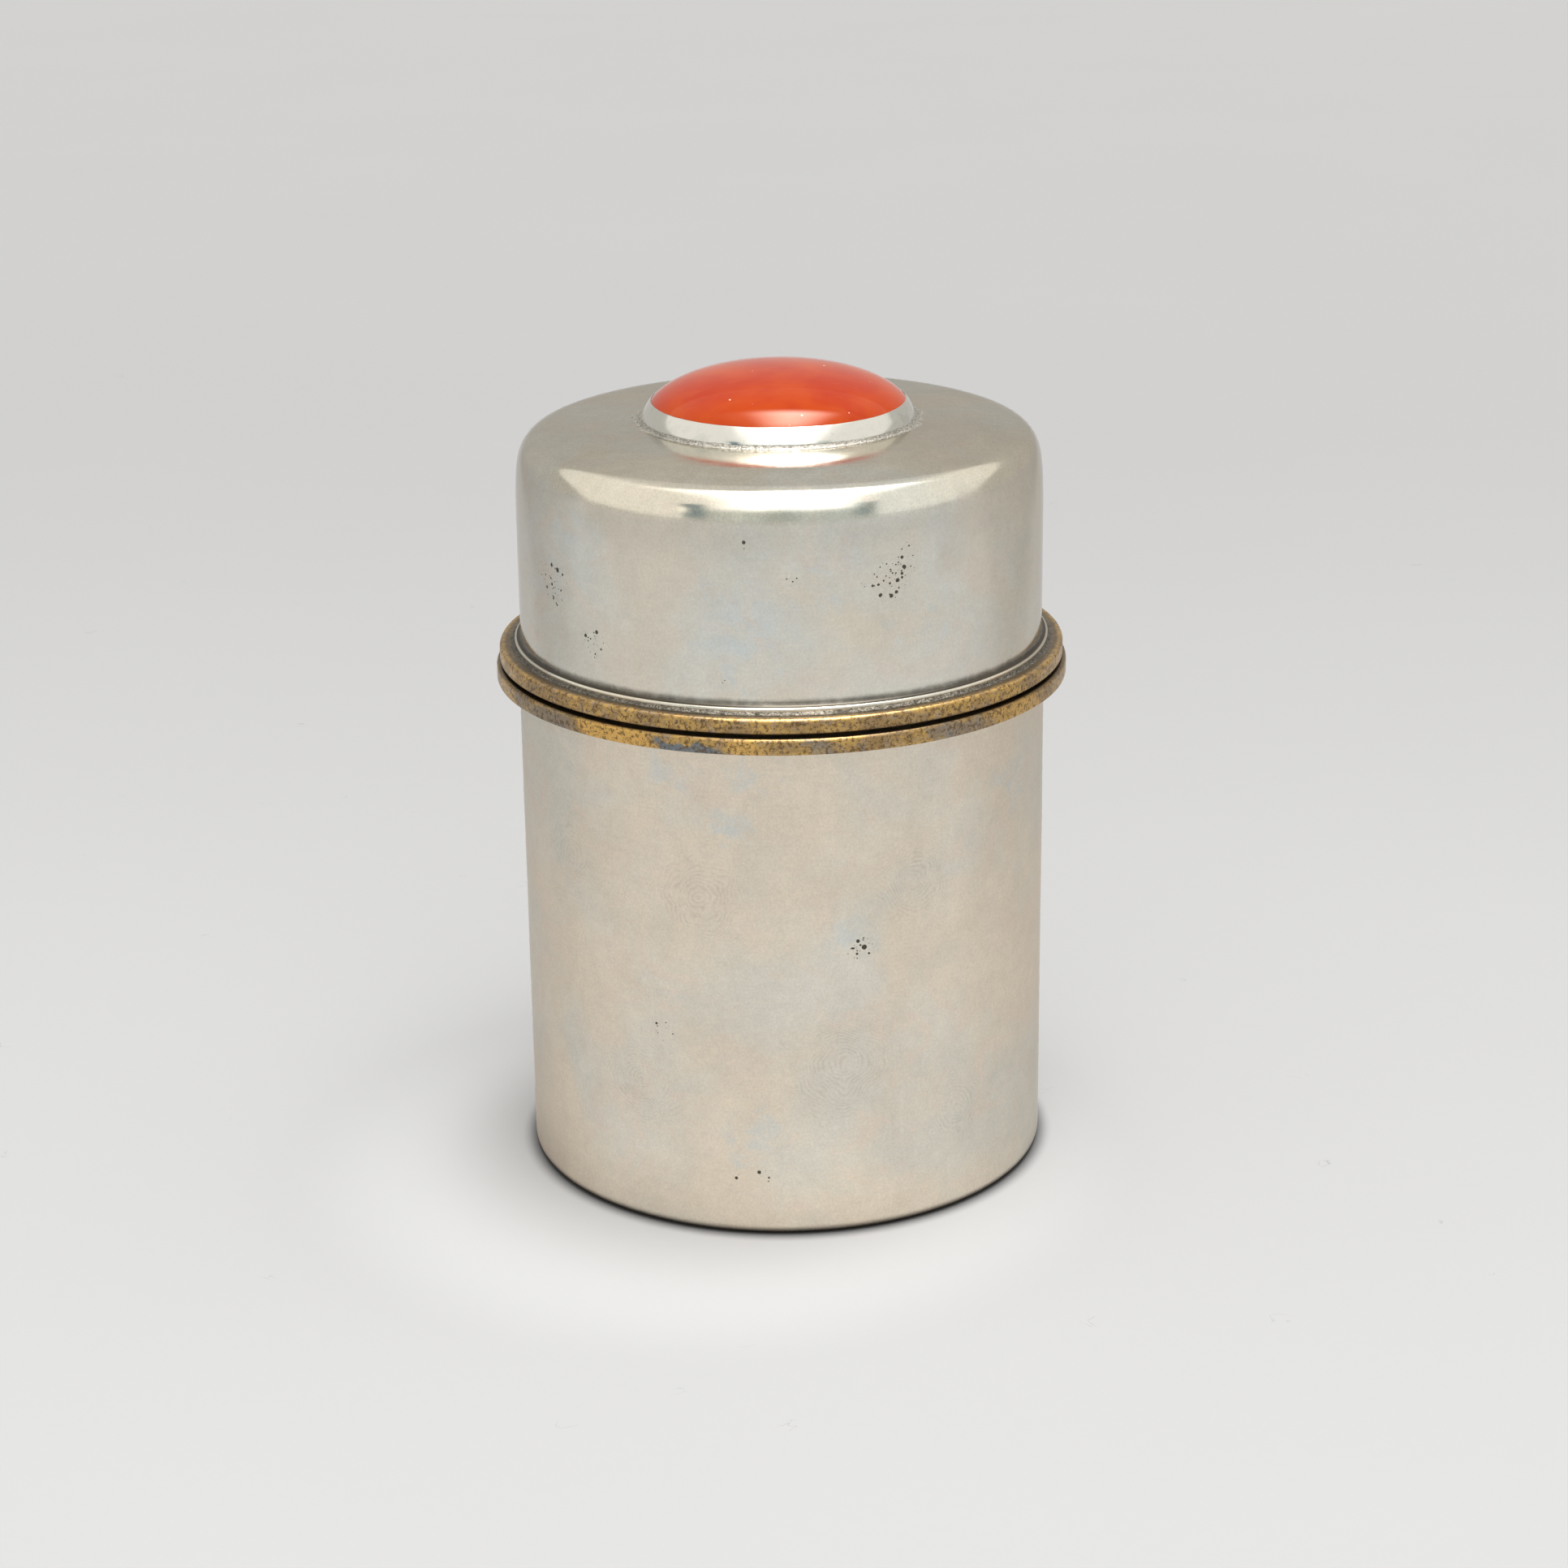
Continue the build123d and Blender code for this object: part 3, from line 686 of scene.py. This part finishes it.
def build_body_shell():
    inner_corner = CUP_CORNER
    outline = outline_of(
        straight((0, 0), (BODY_R - BASE_EDGE, 0), 4 * MM),
        round_off((BODY_R - BASE_EDGE, BASE_EDGE), BASE_EDGE, -90, 0, 10),
        straight((BODY_R, BASE_EDGE), (BODY_R, JOINT_Z)),
        straight((BODY_R, JOINT_Z), (SLEEVE_R, JOINT_Z)),
        straight((SLEEVE_R, JOINT_Z), (SLEEVE_R, FLOOR_Z + inner_corner), 3 * MM),
        round_off((SLEEVE_R - inner_corner, FLOOR_Z + inner_corner), inner_corner, 0, -90, 5),
        straight((SLEEVE_R - inner_corner, FLOOR_Z), (0, FLOOR_Z), 6 * MM),
    )

    def uneven(angle, radius, height):
        held = clamped((height - BODY_RING_LOW_Z + 3 * MM) / (3 * MM))
        lifted = clamped(height / (3 * MM))
        r, z = spun_wall(angle, radius, height)
        return radius + (r - radius) * (1 - held) * lifted, z

    made = turn(outline, 320, uneven)
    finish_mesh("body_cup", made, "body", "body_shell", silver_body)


def build_ring(name, node, body, outer_r, inner_r, low_z, top_z, land_z):
    """A brass rim ring. Its inner land, out to the body's wall, stands at land_z."""
    low_edge, top_edge = RING_LOW_EDGE, RING_TOP_EDGE
    outline = outline_of(
        straight((inner_r, land_z), (BODY_R, land_z)),
        straight((BODY_R, low_z), (outer_r - low_edge, low_z)),
        round_off((outer_r - low_edge, low_z + low_edge), low_edge, -90, 0, 4),
        straight((outer_r, low_z + low_edge), (outer_r, top_z - top_edge)),
        round_off((outer_r - top_edge, top_z - top_edge), top_edge, 0, 90, 8),
        straight((outer_r - top_edge, top_z), (inner_r, top_z)),
        straight((inner_r, top_z), (inner_r, land_z)),
    )
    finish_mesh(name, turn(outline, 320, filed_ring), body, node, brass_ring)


def build_sleeve():
    edge = SLEEVE_EDGE
    inner_r = SLEEVE_R - SLEEVE_WALL
    outline = outline_of(
        straight((inner_r, SLEEVE_LOW_Z), (SLEEVE_R, SLEEVE_LOW_Z)),
        straight((SLEEVE_R, SLEEVE_LOW_Z), (SLEEVE_R, SLEEVE_TOP_Z - edge)),
        round_off((SLEEVE_R - edge, SLEEVE_TOP_Z - edge), edge, 0, 90, 6),
        round_off((inner_r + edge, SLEEVE_TOP_Z - edge), edge, 90, 180, 6),
        straight((inner_r, SLEEVE_TOP_Z - edge), (inner_r, SLEEVE_LOW_Z)),
    )
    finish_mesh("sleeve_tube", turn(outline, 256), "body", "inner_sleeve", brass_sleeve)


def build_divider_disc():
    edge = DISC_EDGE
    low_z, top_z = FLOOR_Z, DISC_TOP_Z
    outline = outline_of(
        straight((0, low_z), (DIVIDER_R - edge, low_z), 5 * MM),
        round_off((DIVIDER_R - edge, low_z + edge), edge, -90, 0, 3),
        round_off((DIVIDER_R - edge, top_z - edge), edge, 0, 90, 3),
        straight((DIVIDER_R - edge, top_z), (0, top_z), 5 * MM),
    )
    made = turn(outline, 192)
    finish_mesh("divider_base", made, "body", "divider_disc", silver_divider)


def build_divider_plate(name, node, along, slot_at_top):
    """Upright plate with rounded top corners and a slot for its twin, its edges broken."""
    corner = PLATE_CORNER
    slot_half = DIVIDER_HALF + 0.02 * MM
    middle_z = (DISC_TOP_Z + DIVIDER_TOP_Z) / 2
    low, top = DISC_TOP_Z, DIVIDER_TOP_Z
    right_top = round_off((DIVIDER_R - corner, top - corner), corner, 0, 90, 8)
    left_top = round_off((-DIVIDER_R + corner, top - corner), corner, 90, 180, 8)
    slot_top = [(slot_half, top), (slot_half, middle_z), (-slot_half, middle_z), (-slot_half, top)]
    slot_low = [(-slot_half, low), (-slot_half, middle_z), (slot_half, middle_z), (slot_half, low)]
    ends = [(-DIVIDER_R, low)] + ([] if slot_at_top else slot_low) + [(DIVIDER_R, low)]
    points = ends + right_top + (slot_top if slot_at_top else []) + left_top
    made = bmesh.new()
    across = Vector((-along.y, along.x, 0)) * DIVIDER_HALF
    corners = [made.verts.new(along * s + Vector((0, 0, z)) - across) for s, z in points]
    face = made.faces.new(corners)
    grown = bmesh.ops.extrude_face_region(made, geom=[face])["geom"]
    grown_verts = [v for v in grown if isinstance(v, bmesh.types.BMVert)]
    bmesh.ops.translate(made, vec=2 * across, verts=grown_verts)
    bmesh.ops.recalc_face_normals(made, faces=made.faces)
    rims = [e for e in made.edges if e.calc_face_angle(0) > math.radians(60)]
    bmesh.ops.bevel(made, geom=rims, offset=0.12 * MM, segments=2, affect="EDGES", profile=0.5)
    bmesh.ops.triangulate(made, faces=[f for f in made.faces if len(f.verts) > 4])
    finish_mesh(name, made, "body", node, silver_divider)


# ---------------------------------------------------------------- the lid

def lean_out(point, slope, distance):
    """The point a distance further out along a fall of so many degrees."""
    fall = math.radians(slope)
    return point[0] + distance * math.cos(fall), point[1] - distance * math.sin(fall)


def shoulder(wall_r, crown_r, top_z):
    """Outline of the lid's top: flat seat, straight gentle fall, then the curve down to the wall."""
    seat = (crown_r - (LID_CROWN_R - LID_SEAT_R), top_z)
    crown = (crown_r, top_z - LID_CROWN_DROP)
    slope = math.degrees(math.atan2(LID_CROWN_DROP, LID_CROWN_R - LID_SEAT_R))
    low = (wall_r, SHOULDER_LOW_Z)
    pull, counter_pull = lean_out(crown, slope, SHOULDER_TOP_PULL), (wall_r, low[1] + SHOULDER_SIDE_PULL)
    return (
        straight((0, top_z), seat, 2.5 * MM)
        + straight(seat, crown, (LID_CROWN_R - LID_SEAT_R) / 18, 0)[:20]
        + bend(crown, pull, counter_pull, low, 44)
    )


def front_shoulder():
    """The same outline, point for point, as it was beaten at the front: with a tighter corner."""
    seat = (LID_SEAT_R, LID_TOP_Z)
    dip = (FRONT_DIP_R, LID_TOP_Z - FRONT_DIP_DROP)
    crown = (FRONT_CROWN_R, LID_TOP_Z - FRONT_CROWN_DROP)
    low = (LID_R, SHOULDER_LOW_Z)
    near, far = (FRONT_DIP_R - LID_SEAT_R) / 3, (FRONT_CROWN_R - FRONT_DIP_R) / 3
    return (
        straight((0, LID_TOP_Z), seat, 2.5 * MM)
        + bend(seat, lean_out(seat, 2.4, near), lean_out(dip, 3.5, -near), dip, 10)
        + bend(dip, lean_out(dip, 3.5, far), lean_out(crown, 10.0, -far), crown, 8)
        + bend(crown, lean_out(crown, 10.0, FRONT_TOP_PULL), (LID_R, low[1] + FRONT_SIDE_PULL), low, 44)
    )


def build_lid_shell():
    inner_r = LID_R - LID_WALL
    cove_z = LID_RING_TOP_Z + FLARE_EDGE_H + FLARE_COVE
    bead = FLARE_R - LID_R - FLARE_COVE
    bead_z = LID_RING_TOP_Z + FLARE_EDGE_H - bead
    outer = shoulder(LID_R, LID_CROWN_R, LID_TOP_Z)
    fuller = dict(zip(outer, front_shoulder()))
    inner = shoulder(inner_r, LID_CROWN_R - LID_WALL, LID_TOP_Z - LID_TOP_WALL)
    outline = outline_of(
        straight((inner_r, LID_RING_TOP_Z), (FLARE_R, LID_RING_TOP_Z)),
        straight((FLARE_R, LID_RING_TOP_Z), (FLARE_R, bead_z)),
        round_off((FLARE_R - bead, bead_z), bead, 0, 90, 6),
        round_off((LID_R + FLARE_COVE, cove_z), FLARE_COVE, -90, -180, 10),
        straight((LID_R, cove_z), (LID_R, SHOULDER_LOW_Z)),
        outer[::-1],
        inner,
        straight((inner_r, SHOULDER_LOW_Z), (inner_r, LID_RING_TOP_Z), 3 * MM),
    )

    def uneven(angle, radius, height):
        full_r, full_z = fuller.get((radius, height), (radius, height))
        front = clamped(0.4 - math.sin(angle) * 2.2)
        front = front * front * (3 - 2 * front)
        free = clamped((height - cove_z) / (2 * MM))
        r, z = spun_lid(angle, radius, height)
        near_r = radius + (full_r - radius) * front + (r - radius) * free
        return near_r, height + (full_z - height) * front + (z - height) * free

    made = turn(outline, 360, uneven)
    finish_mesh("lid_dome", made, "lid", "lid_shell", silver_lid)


def build_ring_solder(name, node, body, wall_r, face_z, out, up):
    """Sandy fillet between a wall and a ring's face."""
    outline = outline_of(
        [(wall_r - FILLET_BITE, face_z - 0.1 * up)],
        [(wall_r + out, face_z - 0.1 * up)],
        [(wall_r + out * (1 - t), face_z + up * t * t) for t in (0.0, 0.2, 0.4, 0.6, 0.8, 1.0)],
        [(wall_r - FILLET_BITE, face_z + up)],
    )

    def uneven(angle, radius, height):
        spread = (radius - wall_r) / out
        lump = 0.5 + 0.5 * ripple(angle, radius, height, 2.2 * MM, 61)
        grain = ripple(angle, radius, height, 0.30 * MM, 67)
        r = radius + max(0.0, spread) * out * (0.5 * lump - 0.3) + 0.03 * MM * grain
        z = height + up * (0.25 * lump + 0.30 * grain) * min(1.0, abs(height - face_z) / abs(up) + 0.35)
        return r, z

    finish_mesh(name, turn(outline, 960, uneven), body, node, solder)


def build_bezel():
    outer_r = BEZEL_R
    inner_r = STONE_R + 0.02 * MM
    dome = STONE_TOP_Z - STONE_GIRDLE_Z + 0.02 * MM
    lip_turn = math.degrees(math.acos(BEZEL_LIP_R / inner_r))
    lip_z = BEZEL_TOP_Z
    lean_z, power = BEZEL_LEAN_Z, BEZEL_LEAN_POWER
    lip_outer = BEZEL_LIP_R + 0.16 * MM
    lean_h = lip_z - 0.06 * MM - lean_z
    rises = [i / 14 for i in range(15)]
    outline = outline_of(
        straight((inner_r, LID_TOP_Z), (outer_r, LID_TOP_Z)),
        straight((outer_r, LID_TOP_Z), (outer_r, lean_z)),
        [(outer_r - (outer_r - lip_outer) * t ** power, lean_z + lean_h * t) for t in rises],
        [(lip_outer - 0.05 * MM, lip_z - 0.01 * MM), (BEZEL_LIP_R, lip_z)],
        round_off((0, STONE_GIRDLE_Z), inner_r, lip_turn, 0, 10, dome),
        straight((inner_r, STONE_GIRDLE_Z), (inner_r, LID_TOP_Z)),
    )

    def uneven(angle, radius, height):
        up = max(0.0, (height - LID_TOP_Z) / (BEZEL_TOP_Z - LID_TOP_Z))
        wave = ripple(angle, outer_r, 0, 4.5 * MM, 71)
        nick = ripple(angle, outer_r, 0, 1.1 * MM, 73)
        return radius + up * 0.03 * MM * wave, height + up * up * MM * (0.035 * wave + 0.02 * nick)

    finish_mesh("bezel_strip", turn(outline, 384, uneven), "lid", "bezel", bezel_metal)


def build_bezel_solder():
    """Solder run out unevenly round the foot of the bezel, widest at its two sides."""
    wall_r, face_z = BEZEL_R, LID_TOP_Z
    out, up = BEZEL_SOLDER_R - BEZEL_R, BEZEL_SOLDER_H
    outline = outline_of(
        [(wall_r - FILLET_BITE, face_z - 0.05 * MM), (wall_r + out, face_z - 0.05 * MM)],
        [(wall_r + out * (1 - t), face_z + up * t ** 2.2) for t in (0.0, 0.15, 0.3, 0.45, 0.6, 0.8, 1.0)],
        [(wall_r - FILLET_BITE, face_z + up)],
    )

    def uneven(angle, radius, height):
        spread = max(0.0, (radius - wall_r) / out)
        beside = abs(math.cos(angle)) ** 3
        lump = 0.5 + 0.5 * ripple(angle, wall_r, 0, 2.5 * MM, 83)
        grain = ripple(angle, radius, height, 0.28 * MM, 89)
        width = 0.45 + 1.4 * beside * lump + 0.35 * lump
        top = max(0.0, (height - face_z) / up)
        r = wall_r + (radius - wall_r) * width + 0.02 * MM * grain * spread
        rough = 0.07 * MM * grain * min(1.0, 0.3 + top) * min(1.0, width)
        return r, height + top * up * (0.25 * width - 0.2) + rough

    made = turn(outline, 960, uneven)
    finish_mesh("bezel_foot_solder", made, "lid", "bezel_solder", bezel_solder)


def build_stone():
    dome = STONE_TOP_Z - STONE_GIRDLE_Z
    outline = outline_of(
        straight((0, LID_TOP_Z), (STONE_R, LID_TOP_Z), 5 * MM),
        straight((STONE_R, LID_TOP_Z), (STONE_R, STONE_GIRDLE_Z)),
        round_off((0, STONE_GIRDLE_Z), STONE_R, 0, 89.5, 48, dome),
        [(0, STONE_TOP_Z)],
    )
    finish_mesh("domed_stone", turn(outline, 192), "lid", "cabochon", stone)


build_body_shell()
build_ring(
    "body_ring", "body_rim_ring", "body", BODY_RING_R, BODY_R, BODY_RING_LOW_Z, BODY_RING_TOP_Z,
    BODY_RING_LOW_Z,
)
build_ring_solder(
    "body_ring_fillet", "body_ring_solder", "body", BODY_R, BODY_RING_LOW_Z,
    BODY_SOLDER_R - BODY_R, BODY_SOLDER_LOW_Z - BODY_RING_LOW_Z,
)
build_sleeve()
build_divider_disc()
build_divider_plate("divider_lower", "divider_plate_lower", Vector((1, 0, 0)), True)
build_divider_plate("divider_upper", "divider_plate_upper", Vector((0, 1, 0)), False)
build_lid_shell()
build_ring(
    "lid_ring", "lid_rim_ring", "lid", LID_RING_R, SLEEVE_R + LID_CLEARANCE,
    JOINT_Z + RING_GAP_HALF, LID_RING_TOP_Z, LID_LAND_Z,
)
build_ring_solder(
    "lid_ring_fillet", "lid_ring_solder", "lid", FLARE_R, LID_RING_TOP_Z,
    RING_SOLDER_R - FLARE_R, RING_SOLDER_TOP_Z - LID_RING_TOP_Z,
)
build_bezel()
build_bezel_solder()
build_stone()


# ---------------------------------------------------------------- floor, light and camera

def build_floor():
    made = bmesh.new()
    half = 4.0
    corners = ((-half, -half), (half, -half), (half, half), (-half, half))
    made.faces.new([made.verts.new((x, y, 0)) for x, y in corners])
    mesh = bpy.data.meshes.new("floor")
    made.to_mesh(mesh)
    made.free()
    mesh.materials.append(paper_floor("floor_paper"))
    floor = bpy.data.objects.new("floor", mesh)
    bpy.context.scene.collection.objects.link(floor)


def build_world():
    """A pale studio that lights the box evenly from all round.

    Seen along a sweep over the box from the back horizon at 0 degrees to the front horizon at 180, there
    is a grey backdrop, then the white ceiling, a large soft box with its lamp, and the dimmer room.
    """
    world = bpy.data.worlds.new("studio")
    world.use_nodes = True
    bpy.context.scene.world = world
    g = Graph(world.node_tree)
    way = g.vector_math("NORMALIZE", g.add("ShaderNodeTexCoord", {}).outputs["Generated"])
    x, y, z = g.parts(way)[:3]
    sweep = g.math("MULTIPLY", g.math("ARCTAN2", z, y), 180 / math.pi)
    aside = g.math("ABSOLUTE", x)
    above = g.ramp(sweep, BACKDROP_TOP - 1.0, BACKDROP_TOP + 1.0)
    colour = g.mix(above, BACKDROP, CEILING)
    ahead = g.math("MULTIPLY", g.ramp(aside, 0.45, 0.20), g.ramp(sweep, BOX_BACK + 20.0, BOX_BACK - 2.0))
    colour = g.mix(g.math("MULTIPLY", ahead, above), colour, CEILING_AHEAD)
    box = g.between(sweep, BOX_BACK - 1.0, BOX_BACK + 8.0, BOX_FRONT - 6.0, BOX_FRONT + 4.0)
    across = g.ramp(g.math("ABSOLUTE", g.math("SUBTRACT", x, 0.05)), 0.60, 0.22)
    glow = g.math("MULTIPLY", g.math("MULTIPLY", box, across), BOX_STRENGTH)
    lamp = g.between(sweep, BOX_BACK, BOX_BACK + 10.0, LAMP_FULL, LAMP_FRONT)
    lamp_across = g.ramp(g.math("ABSOLUTE", g.math("SUBTRACT", x, 0.10)), 0.38, 0.0)
    lamp = g.math("MULTIPLY", g.math("MULTIPLY", lamp, lamp_across), LAMP_STRENGTH)
    glow = g.math("ADD", glow, lamp)
    dim = g.math("MULTIPLY", g.ramp(sweep, BOX_FRONT - 4.0, BOX_FRONT + 4.0), g.ramp(aside, 0.68, 0.62))
    colour = g.mix(dim, colour, ROOM)
    for middle, half, low, high, tint in ROOM_SHAPES:
        shape = g.ramp(g.math("ABSOLUTE", g.math("SUBTRACT", x, middle)), half * 1.5, half * 0.6)
        shape = g.math("MULTIPLY", shape, g.between(sweep, low - 3.0, low + 3.0, high - 3.0, high + 3.0))
        colour = g.mix(shape, colour, tint)
    glow = g.mix(1.0, g.joined(glow, glow, glow), (1.0, 0.995, 0.98), "MULTIPLY")
    colour = g.mix(1.0, colour, glow, "ADD")
    background = g.add("ShaderNodeBackground", {"Color": colour, "Strength": 1.0})
    output = g.add("ShaderNodeOutputWorld", {})
    g.tree.links.new(background.outputs[0], output.inputs[0])


BACKDROP = (0.565, 0.550, 0.515)
CEILING = (0.98, 0.96, 0.90)
CEILING_AHEAD = (0.70, 0.69, 0.66)
ROOM = (0.60, 0.625, 0.585)
BACKDROP_TOP = 41.0
BOX_BACK = 68.0
BOX_FRONT = 165.0
BOX_STRENGTH = 1.1
LAMP_FULL = 96.0
LAMP_FRONT = 124.0
LAMP_STRENGTH = 20.0

# Things in the room that show in the lid's shoulder: a middle and a half width aside, the sweep from one
# angle to another, and a colour
ROOM_SHAPES = [
    (-0.585, 0.065, 150.0, 178.0, (0.20, 0.28, 0.31)),
    (0.585, 0.060, 152.0, 178.0, (0.32, 0.37, 0.36)),
    (0.03, 0.11, 160.0, 180.0, (0.44, 0.48, 0.44)),
    (-0.30, 0.04, 158.0, 180.0, (0.74, 0.75, 0.68)),
    (-0.655, 0.020, 160.0, 170.0, (1.60, 1.55, 1.40)),
]


def build_camera():
    """Long lens from the front, a little above, with the small roll of a hand-set camera."""
    elevation, roll, away = math.radians(19.04), math.radians(0.69), 402.4 * MM
    target = Vector((0.12 * MM, 0, 43.06 * MM))
    back = Vector((0, -math.cos(elevation), math.sin(elevation)))
    right, up = Vector((1, 0, 0)), Vector((0, math.sin(elevation), math.cos(elevation)))
    rolled_right = right * math.cos(roll) - up * math.sin(roll)
    rolled_up = right * math.sin(roll) + up * math.cos(roll)
    data = bpy.data.cameras.new("camera")
    data.lens, data.sensor_width = 79.61, 36.0
    data.clip_start, data.clip_end = 0.01, 20.0
    camera = bpy.data.objects.new("camera", data)
    axes = Matrix((rolled_right, rolled_up, back)).transposed()
    camera.matrix_world = Matrix.Translation(target + back * away) @ axes.to_4x4()
    bpy.context.scene.collection.objects.link(camera)
    bpy.context.scene.camera = camera


build_floor()
build_world()
build_camera()
bpy.context.scene.view_settings.view_transform = "Standard"
